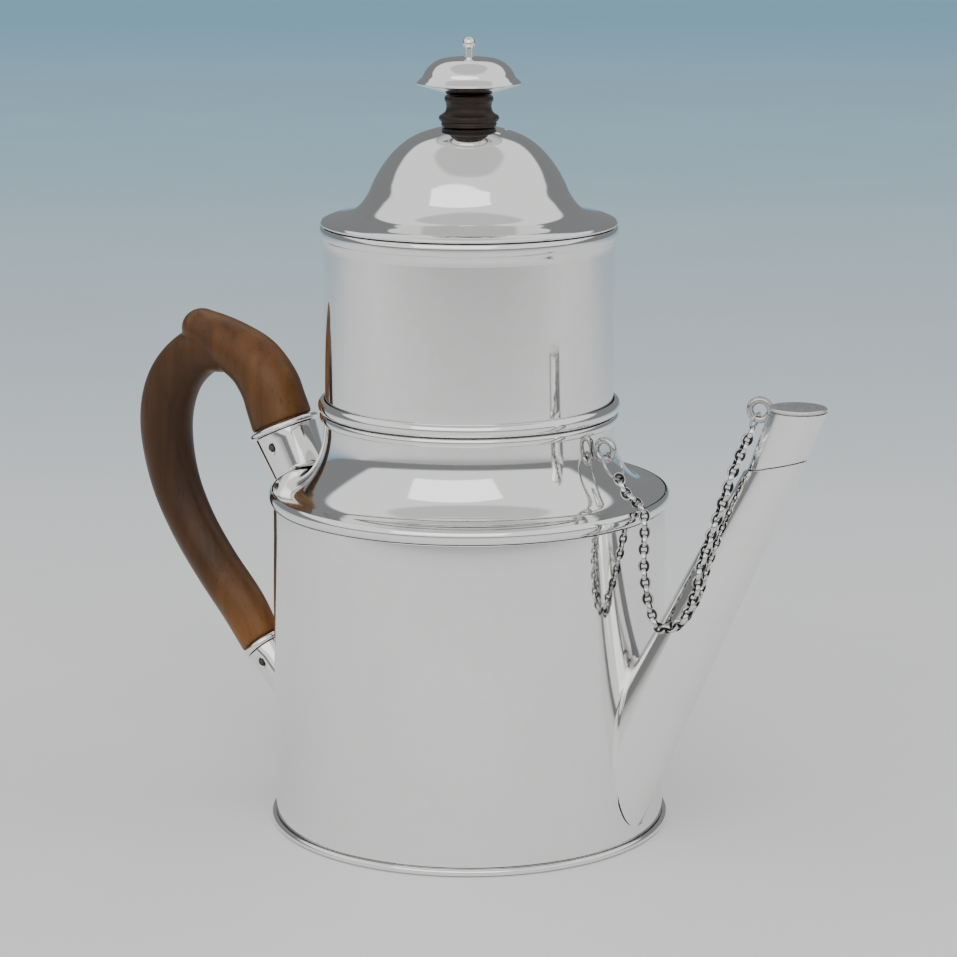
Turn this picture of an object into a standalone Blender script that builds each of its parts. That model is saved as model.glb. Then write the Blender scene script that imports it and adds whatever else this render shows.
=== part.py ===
"""Silver coffee pot of the drip ("biggin") kind.

A straight-sided pot with a capped spout and a wooden handle, an upper brewing section that lifts out of its
neck, a lift-off lid, and a chain from the neck to the spout cap.

The origin is the middle of the resting face. +Z is up, +X points from the pot's axis to the spout, and the
handle is at -X. Sizes below are in millimetres and become metres where a mesh is made.
"""

from math import acos, cos, pi, radians, sin, tau

import bmesh
import bpy
from mathutils import Matrix, Vector

MM = 0.001
GAP = 0.3  # joint line between neighbouring pieces
SHEET = 0.8  # thickness of the silver sheet
ROUND = 44  # steps round the large turned pieces
SMALL_ROUND = 18  # steps round the small turned pieces

# Pot body
BODY_R = 57.0
WALL_TOP = 94.3
WIRE_R = 58.5
WIRE_H = 1.9
EDGE_R = 58.1
LEDGE_Z = 98.6
NECK_R = 41.9
CAVETTO_WIDE = 12.0
CAVETTO_HIGH = 17.6
NECK_TOP = 120.7
NECK_WIRE_R = 43.0

# Upper section
UPPER_R = 41.5
UPPER_LOW = 121.2
UPPER_TOP = 174.6
FOOT_BEAD_R = 43.5
RIM_R = 42.6
SLEEVE_R = 40.4
SLEEVE_LOW = 112.0

# Lid and finial
LID_Z = 174.9
LID_R = 42.3
DOME_TOP_Z = 202.6
BOLT_R = 1.1
BOLT_HOLE_R = 1.5

# Spout: a cone whose axis leaves the pot's axis plane at this slope
SPOUT_SLOPE = radians(63.4)
SPOUT_X = 56.2  # where the spout's axis is at SPOUT_Z
SPOUT_Z = 30.0
SPOUT_R = 11.0  # the cone's radius there
SPOUT_TAPER = 0.041  # radius lost per millimetre of axis
SPOUT_WALL = 0.9
SEAM_Z = 116.2
SEAM_TILT = radians(13.0)
CAP_TOP_Z = 131.3
CAP_SLOPE = radians(68.2)  # the cap stands a little steeper than the spout
CAP_TAPER = -0.018  # it widens a little towards its top
CAP_PLATE_R = 7.4
COLLAR_INSET = 1.9
COLLAR_SHEET = 0.6
COLLAR_LOW = 9.0  # how far the collar goes down the spout from the joint
COLLAR_REACH = 6.5  # how far it stands up into the cap
BORE_INSET = 2.2  # the hole in the wall is this much smaller than the spout
VENT_R = 0.8
VENTS = ((9.2, 5.4), (11.4, -2.6))  # beside the finial's foot
STRAINER_HOLE_R = 1.1
STRAINER_ROW = 13.0  # from one ring of holes to the next

# Handle
WOOD_TENON_GAP = 0.35
PIN_R = 0.9
PIN_HOLE_R = 1.1
PIN_DEEP = 4.2  # from the socket's mouth to its pin
PIN_PROUD = 0.25
CUP_BORE = 9.0  # depth of the hole in each socket
TENON_SHORT = 0.5  # the tenon stops this far above the hole's bottom
TENON_ROOT = 4.5  # and starts this far up inside the bar
BAR_CLEAR = 2.4  # the bar's end face stands this far out of the socket's mouth
RIM_HIGH = 1.8  # the bead round the mouth

# Chain
CHAIN_R = 1.0
CHAIN_SETBACK = 1.1  # how far each run stops short of where it meets the next


def clear_scene():
    for thing in list(bpy.data.objects):
        bpy.data.objects.remove(thing)


def principled(name, colour, metallic, roughness):
    made = bpy.data.materials.new(name)
    made.use_nodes = True
    shader = made.node_tree.nodes["Principled BSDF"]
    shader.inputs["Base Color"].default_value = (*colour, 1.0)
    shader.inputs["Metallic"].default_value = metallic
    shader.inputs["Roughness"].default_value = roughness
    made.diffuse_color = (*colour, 1.0)
    return made


def silver(name, shade=0.80, roughness=0.16):
    return principled(name, (shade, shade * 0.99, shade * 0.97), 1.0, roughness)


def wood(name, colour):
    return principled(name, colour, 0.0, 0.35)


def finish_object(name, bm, material):
    """Turns the mesh into a smooth-shaded object with its faces pointing out."""
    bmesh.ops.recalc_face_normals(bm, faces=bm.faces)
    mesh = bpy.data.meshes.new(name)
    bm.to_mesh(mesh)
    bm.free()
    mesh.shade_smooth()
    mesh.set_sharp_from_angle(angle=radians(35))
    made = bpy.data.objects.new(name, mesh)
    bpy.context.scene.collection.objects.link(made)
    if material:
        mesh.materials.append(material)
    return made


def turned(name, outline, material, steps=ROUND):
    """A solid turned round local +Z from a closed outline of (radius, height) points."""
    bm = bmesh.new()
    points = [bm.verts.new((r * MM, 0.0, z * MM)) for r, z in outline]
    edges = [bm.edges.new((points[i - 1], points[i])) for i in range(len(points))]
    bmesh.ops.spin(
        bm, geom=points + edges, cent=(0, 0, 0), axis=(0, 0, 1), angle=tau, steps=steps, use_merge=True
    )
    bmesh.ops.remove_doubles(bm, verts=bm.verts, dist=1e-7)
    bmesh.ops.dissolve_degenerate(bm, edges=bm.edges, dist=1e-7)
    axis_edges = [e for e in bm.edges if all(v.co.xy.length < 1e-7 for v in e.verts)]
    bmesh.ops.delete(bm, geom=axis_edges, context="EDGES")
    return finish_object(name, bm, material)


def arc(centre_r, centre_z, radius_r, radius_z, start, end, steps):
    """Points along an ellipse's arc in the (radius, height) plane, its angles in degrees."""
    angles = [radians(start + (end - start) * i / steps) for i in range(steps + 1)]
    return [(centre_r + radius_r * cos(a), centre_z + radius_z * sin(a)) for a in angles]


def half_round(inner_r, outer_r, low, high, steps=5):
    """The outline of a wire with a flat back and a round front."""
    middle = (low + high) / 2
    return [(inner_r, high), (inner_r, low)] + arc(
        inner_r + 0.3, middle, outer_r - inner_r - 0.3, (high - low) / 2, -90, 90, steps
    )


def ring(name, mean_r, wire_r, material, steps=SMALL_ROUND, sides=6):
    outline = arc(mean_r, 0.0, wire_r, wire_r, 0, 360 - 360 / sides, sides - 1)
    return turned(name, outline, material, steps)


def pose(thing, place, up):
    """Puts the object's origin at place and turns its local +Z along up; both in millimetres."""
    turn = Vector((0, 0, 1)).rotation_difference(Vector(up).normalized())
    thing.matrix_world = Matrix.Translation(Vector(place) * MM) @ turn.to_matrix().to_4x4()
    return thing


def boolean(target, other, operation="DIFFERENCE"):
    made = target.modifiers.new(other.name, "BOOLEAN")
    made.operation = operation
    made.object = other
    made.solver = "EXACT"
    other.hide_render = True
    other.display_type = "WIRE"


def rod(name, start, end, radius, steps=16, material=None):
    """A plain cylinder between two points."""
    start = Vector(start)
    end = Vector(end)
    length = (end - start).length
    made = turned(name, [(0, length), (radius, length), (radius, 0), (0, 0)], material, steps)
    return pose(made, start, end - start)


def smooth_curve(points, per_span):
    """A Catmull-Rom curve through the points, with per_span steps between neighbours."""
    knots = [Vector(p) for p in points]
    knots = [knots[0] * 2 - knots[1]] + knots + [knots[-1] * 2 - knots[-2]]
    made = []
    for i in range(1, len(knots) - 2):
        a, b, c, d = knots[i - 1 : i + 3]
        for step in range(per_span):
            t = step / per_span
            square = (2 * a - 5 * b + 4 * c - d) * t**2
            cube = (3 * b - a - 3 * c + d) * t**3
            made.append(0.5 * (2 * b + (c - a) * t + square + cube))
    made.append(knots[-2])
    return made


def swept(name, stations, start_along, material, sides=14, per_span=3):
    """An oval bar in the XZ plane, square to start_along where it starts and rounded where it ends.

    A station is (x, z, half width in the plane, half thickness across it).
    """
    path = smooth_curve(stations, per_span)
    rows = []
    for i, p in enumerate(path):
        ahead = path[min(i + 1, len(path) - 1)]
        behind = path[max(i - 1, 0)]
        along = Vector((ahead[0] - behind[0], ahead[1] - behind[1])).normalized()
        if i == 0:
            along = Vector(start_along).normalized()
        rows.append((Vector((p[0], p[1])), along, p[2], p[3]))
    at, along, wide, thick = rows[-1]
    for turn in (30, 55, 75):
        a = radians(turn)
        rows.append((at + along * wide * sin(a), along, wide * cos(a), thick * cos(a)))
    bm = bmesh.new()
    loops = []
    for at, along, wide, thick in rows:
        across = Vector((along[1], -along[0]))
        loop = []
        for k in range(sides):
            a = tau * k / sides
            flat = at + across * wide * cos(a)
            loop.append(bm.verts.new((flat[0] * MM, thick * sin(a) * MM, flat[1] * MM)))
        loops.append(loop)
    for low, high in zip(loops, loops[1:]):
        for k in range(sides):
            bm.faces.new((low[k - 1], low[k], high[k], high[k - 1]))
    bm.faces.new(loops[0])
    bm.faces.new(loops[-1])
    return finish_object(name, bm, material)


# ---------------------------------------------------------------- spout cone


SPOUT_DIRECTION = Vector((cos(SPOUT_SLOPE), 0.0, sin(SPOUT_SLOPE)))
CAP_DIRECTION = Vector((cos(CAP_SLOPE), 0.0, sin(CAP_SLOPE)))


def spout_axis(along):
    """The point of the spout's axis this far along it from its reference point."""
    return Vector((SPOUT_X, 0.0, SPOUT_Z)) + SPOUT_DIRECTION * along


def along_at(z):
    return (z - SPOUT_Z) / sin(SPOUT_SLOPE)


# A cone is (a point of its axis, the axis's direction, the radius there, the radius lost per millimetre).
SPOUT_CONE = (spout_axis(0), SPOUT_DIRECTION, SPOUT_R, SPOUT_TAPER)
CAP_FOOT = spout_axis(along_at(SEAM_Z))
CAP_CONE = (CAP_FOOT, CAP_DIRECTION, SPOUT_R - SPOUT_TAPER * along_at(SEAM_Z), CAP_TAPER)


def cone_loop(bm, cone, inset, plane_point, plane_normal, sides):
    """A loop of the cone, inset inwards, where each straight line of the cone meets the plane."""
    origin, direction, radius, taper = cone
    side = Vector((0, 1, 0))
    out = side.cross(direction)
    loop = []
    for k in range(sides):
        a = tau * k / sides
        spoke = out * cos(a) + side * sin(a)
        start = origin + spoke * (radius - inset)
        line = direction - spoke * taper
        t = (plane_point - start).dot(plane_normal) / line.dot(plane_normal)
        loop.append(bm.verts.new((start + line * t) * MM))
    return loop


def cone_tube(name, cone, outer_inset, inner_inset, low, high, material, sides=32):
    """A tube of the cone between two planes, each given as (point, normal)."""
    bm = bmesh.new()
    loops = [
        cone_loop(bm, cone, outer_inset, *low, sides),
        cone_loop(bm, cone, outer_inset, *high, sides),
        cone_loop(bm, cone, inner_inset, *high, sides),
        cone_loop(bm, cone, inner_inset, *low, sides),
    ]
    for i in range(4):
        first = loops[i - 1]
        second = loops[i]
        for k in range(sides):
            bm.faces.new((first[k - 1], first[k], second[k], second[k - 1]))
    return finish_object(name, bm, material)


def seam_plane(offset):
    """The cap's joint plane, moved this far up the spout."""
    at = spout_axis(along_at(SEAM_Z) + offset)
    return at, Vector((-sin(SEAM_TILT), 0.0, cos(SEAM_TILT)))


def square_plane(along):
    return spout_axis(along), SPOUT_DIRECTION


def make_spout():
    inside_wall = 45.4  # the tube starts at this distance from the pot's axis, and is cut back to the wall
    low = square_plane((inside_wall - SPOUT_X) / cos(SPOUT_SLOPE))
    high = seam_plane(-GAP / 2)
    spout = cone_tube("spout_tube", SPOUT_CONE, 0.0, SPOUT_WALL, low, high, silver("spout_silver"))
    boolean(spout, rod("body_space", (0, 0, -5), (0, 0, 110), BODY_R + GAP, steps=ROUND))
    seam = along_at(SEAM_Z)
    low = square_plane(seam - COLLAR_LOW)
    high = square_plane(seam + COLLAR_REACH)
    inner = COLLAR_INSET + COLLAR_SHEET
    cone_tube("spout_collar", SPOUT_CONE, COLLAR_INSET, inner, low, high, silver("collar_silver", 0.74))


def make_cap():
    top = (Vector((0, 0, CAP_TOP_Z)), Vector((0, 0, 1)))
    cone_tube("cap_sleeve", CAP_CONE, 0.0, SHEET, seam_plane(GAP / 2), top, silver("cap_silver"))
    edge = CAP_PLATE_R
    outline = [(0, 1.2), (edge - 0.25, 1.2), (edge, 0.95), (edge, 0.55), (edge - 0.5, 0.0), (0, 0)]
    plate = turned("cap_top", outline, silver("cap_top_silver", 0.7), 40)
    stretch = 1.0 / sin(CAP_SLOPE)
    for vertex in plate.data.vertices:
        vertex.co.x *= stretch
    centre = CAP_FOOT + CAP_DIRECTION * ((CAP_TOP_Z + GAP - CAP_FOOT.z) / sin(CAP_SLOPE))
    plate.location = centre * MM


# ---------------------------------------------------------------- pot body


def make_base():
    turned(
        "base_plate",
        [(0, WIRE_H), (BODY_R - 0.4, WIRE_H), (BODY_R - 0.4, 0), (0, 0)],
        silver("base_silver", 0.68, 0.3),
    )
    outline = [(BODY_R - 0.1, WIRE_H), (BODY_R - 0.1, 0.0), (BODY_R + 0.9, 0.0)]
    outline += arc(BODY_R + 0.6, WIRE_H / 2, WIRE_R - BODY_R - 0.6, WIRE_H / 2, -60, 90, 4)
    turned("base_wire", outline, silver("base_wire_silver"))


def make_body_wall():
    low = WIRE_H + GAP
    wall = turned(
        "body_wall",
        [(BODY_R, WALL_TOP), (BODY_R, low), (BODY_R - SHEET, low), (BODY_R - SHEET, WALL_TOP)],
        silver("body_silver"),
    )
    bore = cone_solid("spout_bore", BORE_INSET, square_plane(-26.0), square_plane(34.0))
    boolean(wall, bore)


def cone_solid(name, inset, low, high, sides=32):
    bm = bmesh.new()
    first = cone_loop(bm, SPOUT_CONE, inset, *low, sides)
    second = cone_loop(bm, SPOUT_CONE, inset, *high, sides)
    for k in range(sides):
        bm.faces.new((first[k - 1], first[k], second[k], second[k - 1]))
    bm.faces.new(first)
    bm.faces.new(second)
    return finish_object(name, bm, None)


def shoulder_curve(offset, steps=6):
    """The shoulder's hollow curve from its flat ledge up to the neck, offset into the sheet."""
    centre_r = NECK_R + CAVETTO_WIDE
    centre_z = LEDGE_Z + CAVETTO_HIGH
    return arc(centre_r, centre_z, CAVETTO_WIDE + offset, CAVETTO_HIGH + offset, -90, -180, steps)


def make_shoulder():
    edge = BODY_R - 0.3
    edge_z = LEDGE_Z - 0.25
    outer = [(edge, edge_z)] + shoulder_curve(0.0) + [(NECK_R, NECK_TOP)]
    inner = [(edge, edge_z - SHEET)] + shoulder_curve(SHEET, 4) + [(NECK_R - SHEET, NECK_TOP)]
    turned("shoulder", outer + inner[::-1], silver("shoulder_silver", 0.76))
    low = WALL_TOP + GAP
    back = BODY_R - 0.1 - SHEET
    outline = [(back, LEDGE_Z - 1.6), (back, low), (BODY_R + 0.2, low)]
    outline += arc(BODY_R - 0.1, low + 1.9, EDGE_R - BODY_R + 0.1, 1.9, -70, 60, 4)
    outline += [(BODY_R + 0.15, LEDGE_Z - 0.1), (BODY_R, LEDGE_Z - 1.6)]
    turned("shoulder_bead", outline, silver("shoulder_bead_silver"))
    turned(
        "neck_rim_wire",
        half_round(NECK_R + GAP, NECK_WIRE_R + 0.1, NECK_TOP - 2.3, NECK_TOP + 0.1),
        silver("neck_wire_silver"),
    )


# ---------------------------------------------------------------- upper section and lid


def make_upper_section():
    turned(
        "upper_wall",
        [
            (UPPER_R, UPPER_TOP),
            (UPPER_R, UPPER_LOW),
            (UPPER_R - SHEET, UPPER_LOW),
            (UPPER_R - SHEET, UPPER_TOP),
        ],
        silver("upper_silver"),
    )
    turned(
        "upper_foot_bead",
        half_round(UPPER_R + GAP, FOOT_BEAD_R, UPPER_LOW - 0.1, UPPER_LOW + 3.6),
        silver("upper_bead_silver"),
    )
    inner = UPPER_R + GAP
    outline = [(inner, UPPER_TOP), (inner, UPPER_TOP - 6.8), (inner + 0.25, UPPER_TOP - 6.8)]
    outline += [(inner + 0.45, UPPER_TOP - 5.0), (RIM_R - 0.2, UPPER_TOP - 3.7)]
    outline += arc(RIM_R - 0.4, UPPER_TOP - 1.8, 0.4, 1.8, -70, 90, 4)
    turned("upper_rim", outline, silver("upper_rim_silver"))
    turned(
        "upper_sleeve",
        [
            (SLEEVE_R, UPPER_LOW + 4.5),
            (SLEEVE_R, SLEEVE_LOW),
            (SLEEVE_R - 0.7, SLEEVE_LOW),
            (SLEEVE_R - 0.7, UPPER_LOW + 4.5),
        ],
        silver("sleeve_silver", 0.72, 0.25),
    )
    make_strainer()


def make_strainer():
    """A flat pierced plate in the bottom of the sleeve: rings of holes round a middle one."""
    low = SLEEVE_LOW + 0.6
    edge = SLEEVE_R - 0.7 - GAP
    plate = turned(
        "strainer_plate",
        [(0, low + 0.8), (edge, low + 0.8), (edge, low), (0, low)],
        silver("strainer_silver", 0.7, 0.3),
        48,
    )
    bm = bmesh.new()
    for row in range(3):
        count = max(1, 6 * row)
        for k in range(count):
            turn = tau * k / count
            away = STRAINER_ROW * row
            wide = STRAINER_HOLE_R * MM
            made = bmesh.ops.create_cone(
                bm, cap_ends=True, segments=6, radius1=wide, radius2=wide, depth=4 * MM
            )
            shift = Vector((away * cos(turn), away * sin(turn), low + 0.4)) * MM
            bmesh.ops.translate(bm, verts=made["verts"], vec=shift)
    boolean(plate, finish_object("strainer_holes", bm, None))


# The lid's line from its rim over the flange, up the hollow at the dome's foot and over the dome.
DOME_LINE = (
    (40.3, 176.7),
    (36.2, 177.6),
    (32.2, 179.2),
    (29.2, 182.8),
    (27.0, 187.4),
    (24.3, 191.8),
    (20.4, 196.3),
    (15.6, 199.7),
    (9.0, 202.0),
    (3.0, 202.6),
)


def dome_outline(inset):
    """The lid's line, offset into the sheet."""
    shrunk = []
    for r, z in DOME_LINE:
        share = (z - LID_Z) / (DOME_TOP_Z - LID_Z)
        shrunk.append((max(r - inset * (1 - share * share), 0.0), z - inset * (0.35 + 0.65 * share)))
    return shrunk


def make_lid():
    outline = [(BOLT_HOLE_R, DOME_TOP_Z), (BOLT_HOLE_R, DOME_TOP_Z - SHEET)]
    outline += dome_outline(SHEET)[::-1]
    outline += [(LID_R - 2.6, LID_Z), (LID_R - 0.2, LID_Z)]
    outline += [(LID_R, LID_Z + 0.5), (LID_R - 0.5, LID_Z + 1.2)]
    outline += DOME_LINE
    lid = turned("lid_dome", outline, silver("lid_silver"))
    for i, (x, y) in enumerate(VENTS):
        boolean(lid, rod(f"vent_{i}", (x, y, 190), (x, y, 212), VENT_R, steps=10))
    high = LID_Z - GAP
    outer = UPPER_R - SHEET - 0.45
    turned(
        "lid_bezel",
        [(outer, high), (outer, high - 5.0), (outer - 0.8, high - 5.0), (outer - 0.8, high)],
        silver("bezel_silver", 0.74, 0.22),
    )


def make_finial():
    low = DOME_TOP_Z + GAP
    spool = [(BOLT_HOLE_R, low), (3.5, low), (7.6, low - 0.35), (7.9, low + 0.3), (7.7, low + 0.9)]
    spool += arc(7.45, low + 1.95, 1.1, 1.0, -75, 75, 4)
    spool += [(7.2, low + 3.3), (6.55, low + 4.1), (6.4, low + 5.2), (6.55, low + 6.1)]
    spool += arc(6.2, low + 7.3, 0.75, 1.1, -60, 80, 3)
    spool += [(BOLT_HOLE_R, low + 8.4)]
    turned("finial_spool", spool, wood("spool_wood", (0.035, 0.022, 0.015)), 28)
    base = low + 8.4 + GAP
    button = [(BOLT_HOLE_R, base), (6.3, base), (14.6, base + 2.7), (14.85, base + 3.1)]
    button += [(14.4, base + 3.6), (13.2, base + 4.7), (12.3, base + 6.4), (10.6, base + 8.3)]
    button += [(8.0, base + 9.7)]
    button += [(4.4, base + 10.3), (BOLT_HOLE_R, base + 10.4)]
    turned("finial_button", button, silver("button_silver", 0.84, 0.1), 36)
    top = base + 10.3
    ball_r = 1.85
    foot_z = 196.0
    stem = [(0, foot_z), (BOLT_R, foot_z), (BOLT_R, top + 1.8)]
    start = -acos(BOLT_R / ball_r) * 180 / pi
    stem += arc(0.0, top + 3.9, ball_r, ball_r, start, 90, 6)
    turned("finial_bolt", stem, silver("bolt_silver", 0.84, 0.1), 16)
    nut = DOME_TOP_Z - SHEET - GAP - 0.4
    turned(
        "finial_nut",
        [(BOLT_HOLE_R, nut), (4.2, nut), (4.2, nut - 2.2), (BOLT_HOLE_R, nut - 2.2)],
        silver("nut_silver", 0.6, 0.3),
        6,
    )


# ---------------------------------------------------------------- handle and its sockets

# Each socket is a tapered cup: the middle of its mouth, the direction from the mouth into the cup, and sizes.
UPPER_CUP = {
    "mouth": (-65.9, 107.9),
    "into": (0.43, -0.903),
    "mouth_r": 9.7,
    "end_r": 8.0,
    "deep": 18.0,
    "rim_r": 10.9,
}
LOWER_CUP = {
    "mouth": (-74.3, 39.2),
    "into": (0.66, -0.751),
    "mouth_r": 6.4,
    "end_r": 5.2,
    "deep": 26.0,
    "rim_r": 7.1,
}

# Stations of the wooden bar: x, z, half width in the handle's plane, half thickness across it.
GRIP = (
    (-75.9, 41.0, 6.6, 6.6),
    (-82.8, 51.0, 7.4, 6.9),
    (-93.1, 62.8, 7.2, 7.2),
    (-102.0, 75.0, 7.2, 7.5),
    (-108.4, 88.2, 7.6, 7.8),
    (-111.2, 103.0, 8.4, 8.0),
    (-109.6, 114.6, 8.6, 8.0),
    (-104.4, 123.4, 8.2, 7.8),
    (-95.8, 129.6, 7.6, 7.6),
    (-86.5, 130.0, 6.6, 7.0),
)
THUMB = (
    (-66.9, 110.1, 9.5, 9.3),
    (-69.2, 115.6, 9.3, 9.2),
    (-71.6, 121.2, 9.2, 8.9),
    (-76.8, 127.2, 8.8, 8.4),
    (-84.2, 131.2, 8.0, 8.0),
    (-91.8, 134.2, 7.1, 7.4),
    (-96.8, 136.2, 6.0, 6.6),
)


def cup_frame(cup):
    mouth = Vector((cup["mouth"][0], 0.0, cup["mouth"][1]))
    into = Vector((cup["into"][0], 0.0, cup["into"][1])).normalized()
    return mouth, into


def out_of(cup):
    return -cup["into"][0], -cup["into"][1]


def make_socket(name, cup):
    """A tapered cup with a bead round its mouth, cut to the pot's surface."""
    mouth, into = cup_frame(cup)
    wide, thin, deep = cup["mouth_r"], cup["end_r"], cup["deep"]
    slope = (wide - thin) / deep
    bore = wide - SHEET
    outline = [(0, GAP + CUP_BORE), (bore - slope * CUP_BORE, GAP + CUP_BORE), (bore, GAP)]
    outline += [(wide, GAP), (thin, deep), (0, deep)]
    body = pose(turned(name, outline, silver(name + "_silver"), 28), mouth, into)
    boolean(body, bpy.data.objects["pot_space"])
    half = RIM_HIGH / 2
    bead = arc(wide + 0.15, -half, cup["rim_r"] - wide - 0.15, half, -90, 90, 4)
    rim = [(bore, 0.0), (bore, -RIM_HIGH)] + bead
    pose(turned(name + "_rim", rim, silver(name + "_rim_silver"), 28), mouth, into)
    return body


def make_pot_space():
    """The space of the pot's body, shoulder and neck, grown by a joint line, that the sockets are cut to."""
    grown = BODY_R + GAP
    outline = [(0, 0.0), (grown, 0.0), (grown, WALL_TOP), (EDGE_R + GAP, WALL_TOP + 0.2)]
    outline += [(EDGE_R + GAP, LEDGE_Z - 0.8), (BODY_R, LEDGE_Z + 0.2)]
    outline += [(r, z + 0.15) for r, z in shoulder_curve(-GAP)]
    outline += [(NECK_R + GAP, NECK_TOP), (0, NECK_TOP)]
    made = turned("pot_space", outline, None)
    made.hide_render = True
    made.display_type = "WIRE"


def make_tenon(name, cup):
    """A plain round tenon inside the cup; it joins the bar to the socket."""
    mouth, into = cup_frame(cup)
    radius = cup["mouth_r"] - SHEET - WOOD_TENON_GAP
    slope = (cup["mouth_r"] - cup["end_r"]) / cup["deep"]
    deep = CUP_BORE - TENON_SHORT
    outline = [(0, deep), (radius - slope * deep, deep), (radius, -TENON_ROOT), (0, -TENON_ROOT)]
    return pose(turned(name, outline, None, 24), mouth, into)


def trimmed(stations, cup):
    """The bar's stations, starting square to the socket and clear of its bead."""
    mouth, into = cup_frame(cup)
    clear = mouth - into * BAR_CLEAR
    first = stations[0]
    return ((clear.x, clear.z, first[2], first[3]),) + stations[1:]


def make_pin(name, cup, pierced):
    """A pin across the socket and its tenon, and the hole for it in both."""
    mouth, into = cup_frame(cup)
    middle = mouth + into * PIN_DEEP
    across = Vector((0, 16, 0))
    hole = rod(name + "_pin_hole", middle - across, middle + across, PIN_HOLE_R, 12)
    for piece in pierced:
        boolean(piece, hole)
    across = Vector((0, cup["mouth_r"] + PIN_PROUD, 0))
    metal = silver(name + "_pin_silver", 0.55, 0.3)
    rod(name + "_pin", middle - across, middle + across, PIN_R, 12, metal)


def make_handle():
    make_pot_space()
    upper = make_socket("upper_socket", UPPER_CUP)
    lower = make_socket("lower_socket", LOWER_CUP)
    brown = wood("handle_wood", (0.19, 0.085, 0.035))
    handle = swept("handle", trimmed(GRIP, LOWER_CUP), out_of(LOWER_CUP), brown)
    thumb = swept("thumb_rest", trimmed(THUMB, UPPER_CUP), out_of(UPPER_CUP), brown)
    boolean(handle, thumb, "UNION")
    boolean(handle, make_tenon("upper_tenon", UPPER_CUP), "UNION")
    boolean(handle, make_tenon("lower_tenon", LOWER_CUP), "UNION")
    make_pin("upper_socket", UPPER_CUP, (upper, handle))
    make_pin("lower_socket", LOWER_CUP, (lower, handle))


# ---------------------------------------------------------------- chain

EYE = Vector((45.4, 0.0, 114.2))
EYE_RING = (2.75, 1.0)  # each ring's mean radius, then its wire's radius
EYE_SET_BACK = 0.75
CAP_LOOP = Vector((93.5, 1.0, 130.6))
CAP_LOOP_FACE = Vector((0.342, -0.940, 0.0))
NECK_RING = (4.0, 0.4)
NECK_RING_LEAN = Vector((0.55, 0.0, -0.835))
NECK_RING_DROP = 2.45  # from the eye's wire to the jump ring's middle
CAP_RING = (2.3, 0.35)
CAP_RING_LEAN = Vector((-0.38, -0.10, -0.92))
CAP_RING_DROP = 0.55

# The chain's route: from the jump ring over the shoulder, down the wall, round the low bend, up to the cap.
NECK_RUN = (
    (51.2, -0.3, 105.0),
    (53.2, -0.8, 102.2),
    (56.4, -1.6, 100.6),
    (59.2, -2.4, 98.9),
    (60.3, -3.4, 95.0),
    (60.8, -4.6, 89.5),
    (62.2, -6.2, 81.6),
)
BEND_POINTS = (
    (62.2, -6.2, 81.6),
    (64.8, -8.1, 74.0),
    (69.0, -9.6, 68.2),
    (76.2, -10.5, 71.2),
    (80.4, -10.2, 79.5),
)
CAP_RUN = (
    (80.4, -10.2, 79.5),
    (81.8, -9.9, 87.2),
    (84.0, -8.8, 95.4),
    (86.6, -7.2, 104.5),
    (88.6, -4.9, 113.5),
    (90.6, -2.0, 121.0),
    (91.5, -0.7, 123.8),
)


def chain_run(name, points, material):
    """A round bar along a list of points, for a run of chain links; its origin is its first point."""
    data = bpy.data.curves.new(name, "CURVE")
    data.dimensions = "3D"
    data.bevel_depth = CHAIN_R * MM
    data.bevel_resolution = 1
    data.use_fill_caps = True
    line = data.splines.new("POLY")
    line.points.add(len(points) - 1)
    for place, point in zip(line.points, points):
        place.co = (*((point - points[0]) * MM), 1.0)
    data.materials.append(material)
    made = bpy.data.objects.new(name, data)
    made.location = points[0] * MM
    bpy.context.scene.collection.objects.link(made)
    return made


def shortened(points, start, end):
    """The route with its ends pulled back by the stated lengths."""
    points = [Vector(p) for p in points]
    points[0] = points[0] + (points[1] - points[0]).normalized() * start
    points[-1] = points[-1] + (points[-2] - points[-1]).normalized() * end
    return points


def make_rings(material):
    """The loops soldered on the neck and the cap, and the jump ring that hangs in each."""
    eye = pose(ring("neck_eye", *EYE_RING, silver("eye_silver")), EYE, (0, 1, 0))
    boolean(eye, rod("neck_space", (0, 0, 100), (0, 0, 130), NECK_R + EYE_SET_BACK, ROUND))
    pose(ring("cap_loop", *EYE_RING, silver("loop_silver")), CAP_LOOP, CAP_LOOP_FACE)
    for name, hold, lean, size, drop in (
        ("neck_jump_ring", EYE, NECK_RING_LEAN, NECK_RING, NECK_RING_DROP),
        ("cap_jump_ring", CAP_LOOP, CAP_RING_LEAN, CAP_RING, CAP_RING_DROP),
    ):
        hang = lean.normalized()
        middle = hold + hang * (EYE_RING[0] + drop)
        pose(ring(name, *size, material), middle, hang.cross(Vector((0, 1, 0))))


def make_chain():
    metal = silver("chain_silver", 0.78, 0.18)
    make_rings(metal)
    chain_run("chain_neck_run", shortened(smooth_curve(NECK_RUN, 2), 0.0, CHAIN_SETBACK), metal)
    for i in range(len(BEND_POINTS) - 1):
        points = shortened(BEND_POINTS[i : i + 2], CHAIN_SETBACK, CHAIN_SETBACK)
        chain_run(f"chain_bend_run_{i + 1}", points, metal)
    chain_run("chain_cap_run", shortened(smooth_curve(CAP_RUN, 2), CHAIN_SETBACK, 0.0), metal)


# ---------------------------------------------------------------- moving groups


def carrier(name, place, pieces):
    """An empty on a joint's axis that carries the pieces which move together."""
    made = bpy.data.objects.new(name, None)
    made.location = Vector(place) * MM
    bpy.context.scene.collection.objects.link(made)
    for piece in pieces:
        thing = bpy.data.objects[piece]
        thing.parent = made
        thing.matrix_parent_inverse = Matrix.Translation(-made.location)


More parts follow.
